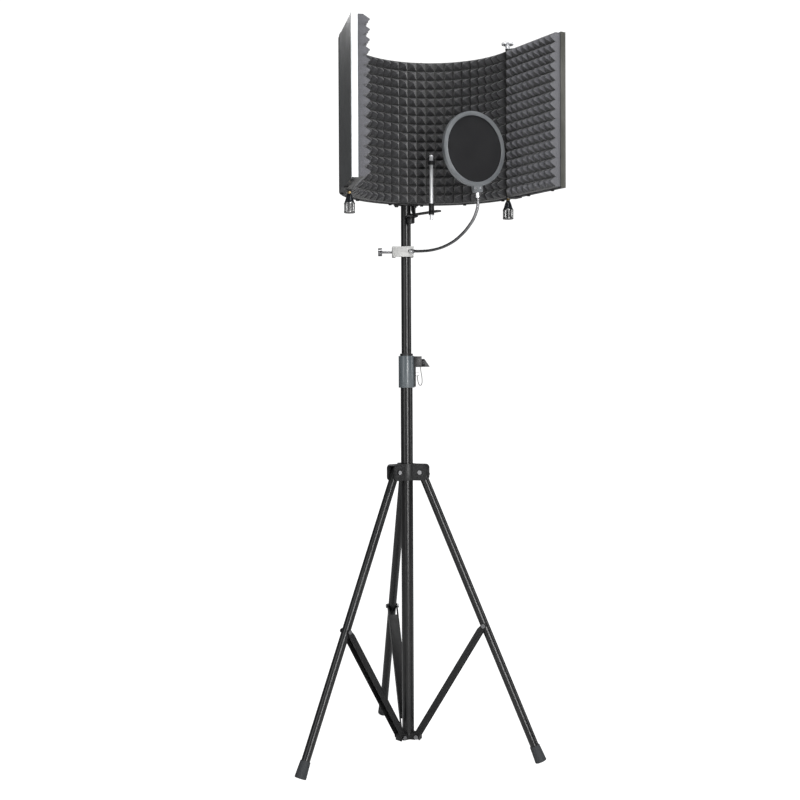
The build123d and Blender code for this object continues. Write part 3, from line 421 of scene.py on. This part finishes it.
for node, width, name in (
    ("leg_hub", 0.0012, "hub_casting"),
    ("leg_hub_knob", 0.0015, "hub_wing_screw"),
    ("clutch_block", 0.0012, "clutch_moulding"),
    ("clutch_collar", 0.0006, "clutch_clamp"),
    ("clutch_knob", 0.0014, "clutch_lever"),
    ("base_hub", 0.0008, "base_casting"),
    ("left_strut", 0.0004, "left_channel"),
    ("right_strut", 0.0004, "right_channel"),
    ("back_strut", 0.0004, "back_channel"),
    ("shield_bracket", 0.0006, "hooked_bracket"),
    ("mic_arm", 0.0006, "arm_bar"),
    ("arm_knob", 0.0012, "arm_grip"),
    ("pop_clamp", 0.0009, "clamp_casting"),
    ("filter_front_ring", 0.0014, "front_hoop"),
    ("filter_back_ring", 0.0014, "back_hoop"),
    ("left_end_strip", 0.0003, "left_trim"),
    ("right_end_strip", 0.0003, "right_trim"),
):
    softened(node, width, name)

# %% [markdown]
# The absorber is open-cell foam cut into rows of pyramids. One wall of it is a grid whose
# lines fall on every valley, tip and blunted tip edge. The grid is extruded to a slab, and
# its front points are lifted to the pyramid's slope. The centre panel's slab is then laid
# round its arc, and the side panels' slabs are laid along their trays. A side panel holds
# half a pyramid more than eight, so that its cut end shows the teeth at their full height.

# %% Foam sizes
foam_low, foam_high = (corner.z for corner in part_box("centre_foam"))
shell_radius, shell_back = 0.208, 0.008
foam_skin, foam_base, foam_rise = 0.0018, 0.022, 0.016
foam_rows, centre_columns, side_columns = 16, 24, 8.5
tip_edge, tip_height = 0.16, 0.90


def pyramid_line(count):
    """Where the grid lines of a row of pyramids fall, from 0 to 1."""
    places = [i + 0.5 + 0.5 * step
              for i in range(int(count + 0.5)) for step in (-1, -tip_edge, 0, tip_edge)]
    return [place / count for place in places if place < count - 0.001] + [1.0]


def pyramid_rise(across, up, columns):
    """The height of the foam at a point of the grid, from 0 to 1."""
    u = abs((across * columns) % 1.0 * 2 - 1)
    v = abs((up * foam_rows) % 1.0 * 2 - 1)
    slope = 1 - max(u, v)
    return tip_height if max(u, v) < 0.01 else max(0.0, min(slope, 1 - tip_edge))


# %% A foam slab
def foam_slab(name, columns, place):
    """A foam wall: place(across, up, depth) gives each point its place in the frame."""
    columns_at, rows_at = pyramid_line(columns), pyramid_line(foam_rows)
    wide, tall = len(columns_at) - 1, len(rows_at) - 1
    bpy.ops.mesh.primitive_grid_add(x_subdivisions=wide, y_subdivisions=tall, size=1)
    slab = bpy.context.object
    slab.name = name
    bpy.ops.object.mode_set(mode="EDIT")
    bpy.ops.mesh.select_all(action="SELECT")
    bpy.ops.mesh.extrude_region_move(TRANSFORM_OT_translate={"value": (0, 0, 1)})
    bpy.ops.object.mode_set(mode="OBJECT")
    rise = slab.data.attributes.new("rise", "FLOAT", "POINT")
    for vertex in slab.data.vertices:
        across = columns_at[round((vertex.co.x + 0.5) * wide)]
        up = rows_at[round((vertex.co.y + 0.5) * tall)]
        front = vertex.co.z > 0.5
        height = pyramid_rise(across, up, columns) if front else 0.0
        depth = foam_skin + (foam_base + foam_rise * height if front else 0.0)
        rise.data[vertex.index].value = height
        vertex.co = place(across, up, depth)
    choose(slab)
    bpy.ops.object.mode_set(mode="EDIT")
    bpy.ops.mesh.select_all(action="SELECT")
    bpy.ops.mesh.quads_convert_to_tris(quad_method="LONGEST_DIAGONAL")
    bpy.ops.mesh.normals_make_consistent(inside=False)
    bpy.ops.object.mode_set(mode="OBJECT")
    return slab


# %% [markdown]
# Foam is nearly black in its pores. Its colour follows the height of the pyramid, which each
# point carries: painted shade in the valleys and painted light on the ridges and tips. A cell
# pattern of pores gives colour and relief at the size of a real foam's cells. A paler grey,
# painted light, is for the cut ends of the side panels. It goes by direction, to every face
# within about 11 degrees of either side panel's heading, so many slopes of their pyramids that
# face outwards have it too.

# %% The foam's finish
def foam_finish(name, valley_shade, tip_light):
    """Foam between two greys: painted shade for its valleys and painted light for its tips."""
    material = bpy.data.materials.new(name)
    material.use_nodes = True
    tree = material.node_tree
    shader = tree.nodes["Principled BSDF"]
    shader.inputs["Roughness"].default_value = 0.95
    shader.inputs["Specular IOR Level"].default_value = 0.15
    shader.inputs["Sheen Weight"].default_value = 0.25
    shader.inputs["Sheen Roughness"].default_value = 0.6
    coords = tree.nodes.new("ShaderNodeTexCoord")
    pores = tree.nodes.new("ShaderNodeTexVoronoi")
    pores.inputs["Scale"].default_value = 620.0
    rise = tree.nodes.new("ShaderNodeAttribute")
    rise.attribute_name = "rise"
    # Painted shade in the valleys and painted light on the tips, following the pyramid's height.
    ramp = tree.nodes.new("ShaderNodeValToRGB")
    ramp.color_ramp.elements[0].color = (valley_shade, valley_shade, valley_shade * 1.1, 1)
    ramp.color_ramp.elements[1].color = (tip_light, tip_light, tip_light * 1.1, 1)
    shade = tree.nodes.new("ShaderNodeMix")
    shade.data_type = "RGBA"
    shade.blend_type = "MULTIPLY"
    shade.inputs["Factor"].default_value = 0.6
    tone = tree.nodes.new("ShaderNodeMapRange")
    tone.inputs["From Max"].default_value = 0.8
    tone.inputs["To Min"].default_value = 0.35
    tone.inputs["To Max"].default_value = 1.25
    bump = tree.nodes.new("ShaderNodeBump")
    bump.inputs["Strength"].default_value = 0.7
    bump.inputs["Distance"].default_value = 0.0008
    link = tree.links.new
    link(coords.outputs["Object"], pores.inputs["Vector"])
    link(rise.outputs["Fac"], ramp.inputs["Fac"])
    link(pores.outputs["Distance"], tone.inputs["Value"])
    link(ramp.outputs["Color"], shade.inputs["A"])
    link(tone.outputs["Result"], shade.inputs["B"])
    link(shade.outputs["Result"], shader.inputs["Base Color"])
    link(pores.outputs["Distance"], bump.inputs["Height"])
    link(bump.outputs["Normal"], shader.inputs["Normal"])
    return material


# The valley grey is painted shade and the tip grey is painted light.
foam_material = foam_finish("open cell foam", 0.003, 0.036)
# Painted light: a paler grey for the side panels' cut ends and the slopes that face the same
# way.
cut_and_lit_foam = foam_finish("cut and lit foam", 0.080, 0.100)

# %% [markdown]
# A side panel's foam starts at the frame's own hinge rod, and runs out along the panel's
# heading. Over the rod the panels nearly meet, behind it they leave room for it, and towards
# the tips the slot between them opens, so that the side panels can fold inwards.

# %% Where the side panels stand
def middle(node):
    low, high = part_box(node)
    return (low + high) / 2


centre_half_angle = radians(81.5)
side_headings = (("left", -1, radians(83.0)), ("right", 1, radians(76.5)))
hinges, headings, inwards = {}, {}, {}
for side, hand, heading in side_headings:
    hinge = middle(f"{side}_hinge_rod")
    hinges[side] = Vector((hinge.x, hinge.y, 0))
    headings[side] = Vector((hand * cos(heading), -sin(heading), 0))
    inwards[side] = Vector((-hand * sin(heading), -cos(heading), 0))
    print(side, "hinge at", [round(v, 4) for v in hinge])
hinge_depth = 0.021
slot_at_back, slot_at_base, slot_at_tips = 0.0042, 0.0014, 0.0080
foam_end = 0.1731
foam_tall = foam_high - foam_low


def slot_half(depth):
    """Half the slot between two panels at a hinge, which widens towards the tips."""
    above_base = depth - foam_skin - foam_base
    if above_base < -0.001:
        return slot_at_back
    return slot_at_base + (slot_at_tips - slot_at_base) * max(0.0, above_base) / foam_rise


def centre_place(across, up, depth):
    """A point of the centre panel, laid round its arc between the two hinges."""
    reach = shell_radius - depth
    angle = (2 * across - 1) * (centre_half_angle - slot_half(depth) / reach)
    return Vector((reach * sin(angle), shell_back - shell_radius + reach * cos(angle),
                   foam_low + foam_tall * up))


def side_place(side):
    """Gives the function that places a point of a side panel's foam."""
    def place(across, up, depth):
        start = slot_half(depth)
        along = start + (foam_end - start) * across
        point = hinges[side] + headings[side] * along
        point = point + inwards[side] * (depth - hinge_depth)
        return point + Vector((0, 0, foam_low + foam_tall * up))
    return place


# %% The three foam panels
lit_facing = 0.98
for panel, columns, place in (
    ("centre", centre_columns, centre_place),
    ("left", side_columns, side_place("left")),
    ("right", side_columns, side_place("right")),
):
    clear_selection()
    foam = foam_slab(f"{panel}_pyramids", columns, place)
    stands_for(foam, f"{panel}_foam", foam_material, 30)
    if panel in headings:
        # Faces turned outwards along a side panel get the paler grey, which is painted light.
        foam.data.materials.append(cut_and_lit_foam)
        for face in foam.data.polygons:
            outward = max(face.normal.dot(way) for way in headings.values())
            face.material_index = int(outward > lit_facing)

# %% [markdown]
# Under each hinge hangs a clamp knob: a dark cone that runs down to a barrel, whose sides
# are knurled between two plain bands. Over each hinge is a thumb nut with a knurled disc.
# A knurled side is a cylinder with every second upright edge drawn in a little.

# %% Knurled pieces
def knurled(name, radius, low, high, teeth, depth, bevel):
    """A knurled cylinder between two heights, standing on the origin's axis."""
    clear_selection()
    bpy.ops.mesh.primitive_cylinder_add(
        vertices=2 * teeth, radius=radius, depth=high - low, location=(0, 0, (low + high) / 2))
    piece = bpy.context.object
    piece.name = name
    bpy.ops.object.transform_apply(location=True, rotation=True, scale=True)
    bpy.ops.object.mode_set(mode="EDIT")
    for cap in (low, high):
        pick_faces(lambda place: abs(place.z - cap) < 0.00001)
        bpy.ops.mesh.inset(thickness=bevel, depth=0)
        bpy.ops.mesh.inset(thickness=radius * 0.3, depth=0)
    bpy.ops.object.mode_set(mode="OBJECT")
    for vertex in piece.data.vertices:
        reach = hypot(vertex.co.x, vertex.co.y)
        if reach > radius - 0.00001:
            index = round(atan2(vertex.co.y, vertex.co.x) / (pi / teeth))
            pull = 1 - (depth / radius if index % 2 else 0)
            inset = bevel * 0.5 if abs(vertex.co.z - low) < 0.00001 else -bevel * 0.5
            vertex.co = (vertex.co.x * pull, vertex.co.y * pull, vertex.co.z + inset)
    return piece


def turned(name, profile, sides=64):
    """A body of revolution about the origin's axis, from (radius, height) points."""
    clear_selection()
    bpy.ops.mesh.primitive_circle_add(
        vertices=sides, radius=profile[0][0], fill_type="NGON", location=(0, 0, profile[0][1]))
    piece = bpy.context.object
    piece.name = name
    bpy.ops.object.transform_apply(location=True, rotation=True, scale=True)
    bpy.ops.object.mode_set(mode="EDIT")
    bpy.ops.mesh.select_all(action="SELECT")
    bpy.ops.mesh.select_mode(type="FACE")
    for (radius, height), (wider, higher) in zip(profile, profile[1:]):
        bpy.ops.mesh.extrude_region_move(
            TRANSFORM_OT_translate={"value": (0, 0, higher - height)})
        bpy.ops.transform.resize(
            value=(wider / radius, wider / radius, 1), center_override=(0, 0, higher))
    bpy.ops.object.mode_set(mode="OBJECT")
    return piece


knob_barrel, knob_radius = 0.0225, 0.012
for side in ("left", "right"):
    low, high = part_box(f"{side}_hinge_knob")
    place = Matrix.Translation((*hinges[side].xy, 0))
    node = f"{side}_hinge_knob"
    edge = low.z + knob_barrel
    barrel = knurled(f"{side}_knob_barrel", knob_radius - 0.0002, low.z + 0.0030,
                     edge - 0.0035, 60, 0.0005, 0.0004)
    settle(barrel, place)
    stands_for(barrel, node, knurled_steel, 25)
    bands = turned(f"{side}_knob_core", [
        (0.0090, low.z), (0.0113, low.z + 0.0002), (knob_radius, low.z + 0.0009),
        (knob_radius, low.z + 0.0027), (0.0114, low.z + 0.0032), (0.0114, edge - 0.0040),
        (knob_radius, edge - 0.0034), (knob_radius, edge - 0.0012), (0.0112, edge),
    ])
    settle(bands, place)
    stands_for(bands, node, knurled_steel, 30)
    cone = turned(f"{side}_knob_cone", [
        (0.0107, edge - 0.0002), (0.0105, edge + 0.0012), (0.0094, edge + 0.0040),
        (0.0066, high.z - 0.0055), (0.0046, high.z - 0.0015), (0.0042, high.z),
    ])
    settle(cone, place)
    stands_for(cone, node, cone_finish, 40)
    low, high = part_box(f"{side}_top_nut")
    node = f"{side}_top_nut"
    neck = turned(f"{side}_nut_neck", [
        (0.0046, low.z), (0.0048, low.z + 0.0004), (0.0048, high.z - 0.0058),
        (0.0062, high.z - 0.0049), (0.0122, high.z - 0.0047), (0.0122, high.z - 0.0004),
        (0.0090, high.z), (0.0040, high.z - 0.0002),
    ])
    settle(neck, place)
    stands_for(neck, node, satin_nickel, 30)
    rim = knurled(f"{side}_nut_rim", 0.0134, high.z - 0.0049, high.z - 0.0003, 48, 0.0005,
                  0.0005)
    settle(rim, place)
    stands_for(rim, node, satin_nickel, 25)

# %% [markdown]
# The microphone stem's tip carries a thread. Its turns are rings, which at this pitch look
# the same as a helix, drawn in and out between the thread's root and its crest.

# %% The stem and its thread
stem_low, stem_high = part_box("mic_stem")
stem_place = Matrix.Translation(((stem_low.x + stem_high.x) / 2,
                                 (stem_low.y + stem_high.y) / 2, 0))
thread_pitch, thread_root, thread_crest = 0.0016, 0.0041, 0.00475
thread_low = stem_high.z - 0.0130
turns = int((stem_high.z - 0.0008 - thread_low) / thread_pitch)
stem_profile = [(0.0039, stem_low.z), (0.0040, stem_low.z + 0.0004),
                (0.0040, thread_low - 0.0090), (0.0043, thread_low - 0.0088)]
for turn_at in range(turns):
    start = thread_low + turn_at * thread_pitch
    stem_profile += [(thread_root, start), (thread_root, start + 0.0003),
                     (thread_crest, start + 0.0008), (thread_crest, start + 0.0011)]
stem_profile += [(thread_root, stem_high.z - 0.0005), (0.0036, stem_high.z)]
stem = turned("threaded_stem", stem_profile, 40)
settle(stem, stem_place)
stands_for(stem, "mic_stem", satin_nickel, 35)

# %% [markdown]
# The pop filter's two nets are knitted nylon, pulled tight over the hoop. Each is a thin
# round sheet that bows outwards by less than a millimetre. The weave is two crossed waves
# in the finish, at the thread spacing of a real net.

# %% The nets
filter_turn, filter_lean = radians(-75.5), radians(6.0)
filter_out = Vector((cos(filter_turn), sin(filter_turn), 0))
filter_side = Vector((-sin(filter_turn), cos(filter_turn), 0))
filter_distance, filter_height = 0.270, 1.367
filter_middle = filter_out * filter_distance + Vector((0, 0, filter_height))
across_filter = filter_side * cos(filter_lean) + Vector((0, 0, sin(filter_lean)))
up_filter = Vector((0, 0, cos(filter_lean))) - filter_side * sin(filter_lean)
filter_frame = Matrix.Translation(filter_middle) @ Matrix(
    (across_filter, up_filter, filter_out)).transposed().to_4x4()


def net_finish():
    material = finish("filter net", (0.012, 0.012, 0.013), (0.016, 0.016, 0.017), 0.80, 0.90,
                      relief=0.1, level=0.1)
    tree = material.node_tree
    shader = tree.nodes["Principled BSDF"]
    coords = tree.nodes.new("ShaderNodeTexCoord")
    total = tree.nodes.new("ShaderNodeMath")
    total.operation = "ADD"
    for index, axis in enumerate(("X", "Z")):
        wave = tree.nodes.new("ShaderNodeTexWave")
        wave.bands_direction = axis
        wave.inputs["Scale"].default_value = 260.0
        tree.links.new(coords.outputs["Object"], wave.inputs["Vector"])
        tree.links.new(wave.outputs["Fac"], total.inputs[index])
    bump = tree.nodes.new("ShaderNodeBump")
    bump.inputs["Strength"].default_value = 0.5
    bump.inputs["Distance"].default_value = 0.0004
    tree.links.new(total.outputs[0], bump.inputs["Height"])
    tree.links.new(bump.outputs["Normal"], shader.inputs["Normal"])
    return material


net_material = net_finish()
net_radius = 0.0735
for name, way in (("front_net", 1), ("back_net", -1)):
    clear_selection()
    bpy.ops.mesh.primitive_circle_add(vertices=96, radius=net_radius, fill_type="NGON")
    net = bpy.context.object
    net.name = name
    bpy.ops.object.mode_set(mode="EDIT")
    bpy.ops.mesh.select_all(action="SELECT")
    for ring, bow in ((0.012, 0.0003), (0.015, 0.0002), (0.020, 0.0002), (0.016, 0.0001)):
        bpy.ops.mesh.inset(thickness=ring, depth=0)
        bpy.ops.transform.translate(value=(0, 0, bow))
    bpy.ops.object.mode_set(mode="OBJECT")
    solid = net.modifiers.new("cloth", "SOLIDIFY")
    solid.thickness = 0.0004
    apply_all(net)
    facing = filter_frame @ Matrix.Translation((0, 0, way * 0.002))
    if way < 0:
        facing = facing @ Matrix.Rotation(pi, 4, "Y")
    settle(net, facing)
    stands_for(net, "filter_meshes", net_material, 40)

# %% [markdown]
# The studio is white to the camera and much dimmer to everything else, as when a product is
# shot against a lit backdrop and flagged off from it. Dark pieces then stay dark, and show
# only the lights that are there to be seen in them.

# %% Floor and backdrop
clear_selection()
bpy.ops.mesh.primitive_plane_add(size=24, location=(0, 0, 0))
floor = bpy.context.object
floor.name = "floor"
paper = bpy.data.materials.new("studio paper")
paper.use_nodes = True
paper_tree = paper.node_tree
paper_shader = paper_tree.nodes["Principled BSDF"]
paper_shader.inputs["Base Color"].default_value = (0.80, 0.80, 0.80, 1)
paper_shader.inputs["Roughness"].default_value = 0.9
paper_shader.inputs["Specular IOR Level"].default_value = 0.1
lit_paper = paper_tree.nodes.new("ShaderNodeEmission")
lit_paper.inputs["Strength"].default_value = 1.25
paper_rays = paper_tree.nodes.new("ShaderNodeLightPath")
paper_share = paper_tree.nodes.new("ShaderNodeMath")
paper_share.operation = "MULTIPLY"
paper_share.inputs[1].default_value = 0.93
paper_mix = paper_tree.nodes.new("ShaderNodeMixShader")
paper_tree.links.new(paper_rays.outputs["Is Camera Ray"], paper_share.inputs[0])
paper_tree.links.new(paper_share.outputs[0], paper_mix.inputs["Fac"])
paper_tree.links.new(paper_shader.outputs[0], paper_mix.inputs[1])
paper_tree.links.new(lit_paper.outputs[0], paper_mix.inputs[2])
paper_tree.links.new(paper_mix.outputs[0], paper_tree.nodes["Material Output"].inputs["Surface"])
floor.data.materials.append(paper)

# %% [markdown]
# A narrow upright strip beside the camera draws one bright line down every tube. A broad
# soft light at the left greys their left sides, and a top light picks out the foam's ridges.
# A light behind, out of the picture, is mirrored in the top of the left panel's outer face.

# %% Lights
def soft_light(name, place, aim, width, height, power):
    data = bpy.data.lights.new(name, "AREA")
    data.shape = "RECTANGLE"
    data.size, data.size_y = width, height
    data.energy = power
    lamp = bpy.data.objects.new(name, data)
    bpy.context.scene.collection.objects.link(lamp)
    lamp.location = place
    lamp.rotation_euler = (Vector(aim) - Vector(place)).to_track_quat("-Z", "Y").to_euler()
    return lamp


soft_light("strip_light", (-0.10, -3.1, 1.0), (0, 0, 1.0), 0.45, 2.4, 75)
soft_light("left_light", (-2.9, -1.5, 1.3), (0, 0, 1.0), 1.4, 2.4, 26)
soft_light("right_light", (2.9, -1.2, 1.5), (0, 0, 1.1), 0.5, 2.2, 20)
soft_light("top_light", (0.2, -1.2, 3.6), (0, -0.1, 1.2), 1.8, 1.6, 85)
sheen_light = soft_light("back_light", (-0.3, 2.8, 2.95), (-0.2, -0.2, 1.5), 1.4, 0.8, 14)
sheen_light.visible_camera = False
world = bpy.data.worlds.new("studio")
bpy.context.scene.world = world
world.use_nodes = True
world_tree = world.node_tree
dim_world = world_tree.nodes["Background"]
dim_world.inputs["Color"].default_value = (0.95, 0.98, 1, 1)
dim_world.inputs["Strength"].default_value = 0.15
white_world = world_tree.nodes.new("ShaderNodeBackground")
white_world.inputs["Color"].default_value = (1, 1, 1, 1)
white_world.inputs["Strength"].default_value = 1.1
world_rays = world_tree.nodes.new("ShaderNodeLightPath")
world_mix = world_tree.nodes.new("ShaderNodeMixShader")
world_tree.links.new(world_rays.outputs["Is Camera Ray"], world_mix.inputs["Fac"])
world_tree.links.new(dim_world.outputs[0], world_mix.inputs[1])
world_tree.links.new(white_world.outputs[0], world_mix.inputs[2])
world_tree.links.new(world_mix.outputs[0], world_tree.nodes["World Output"].inputs["Surface"])
bpy.context.scene.view_settings.view_transform = "Standard"
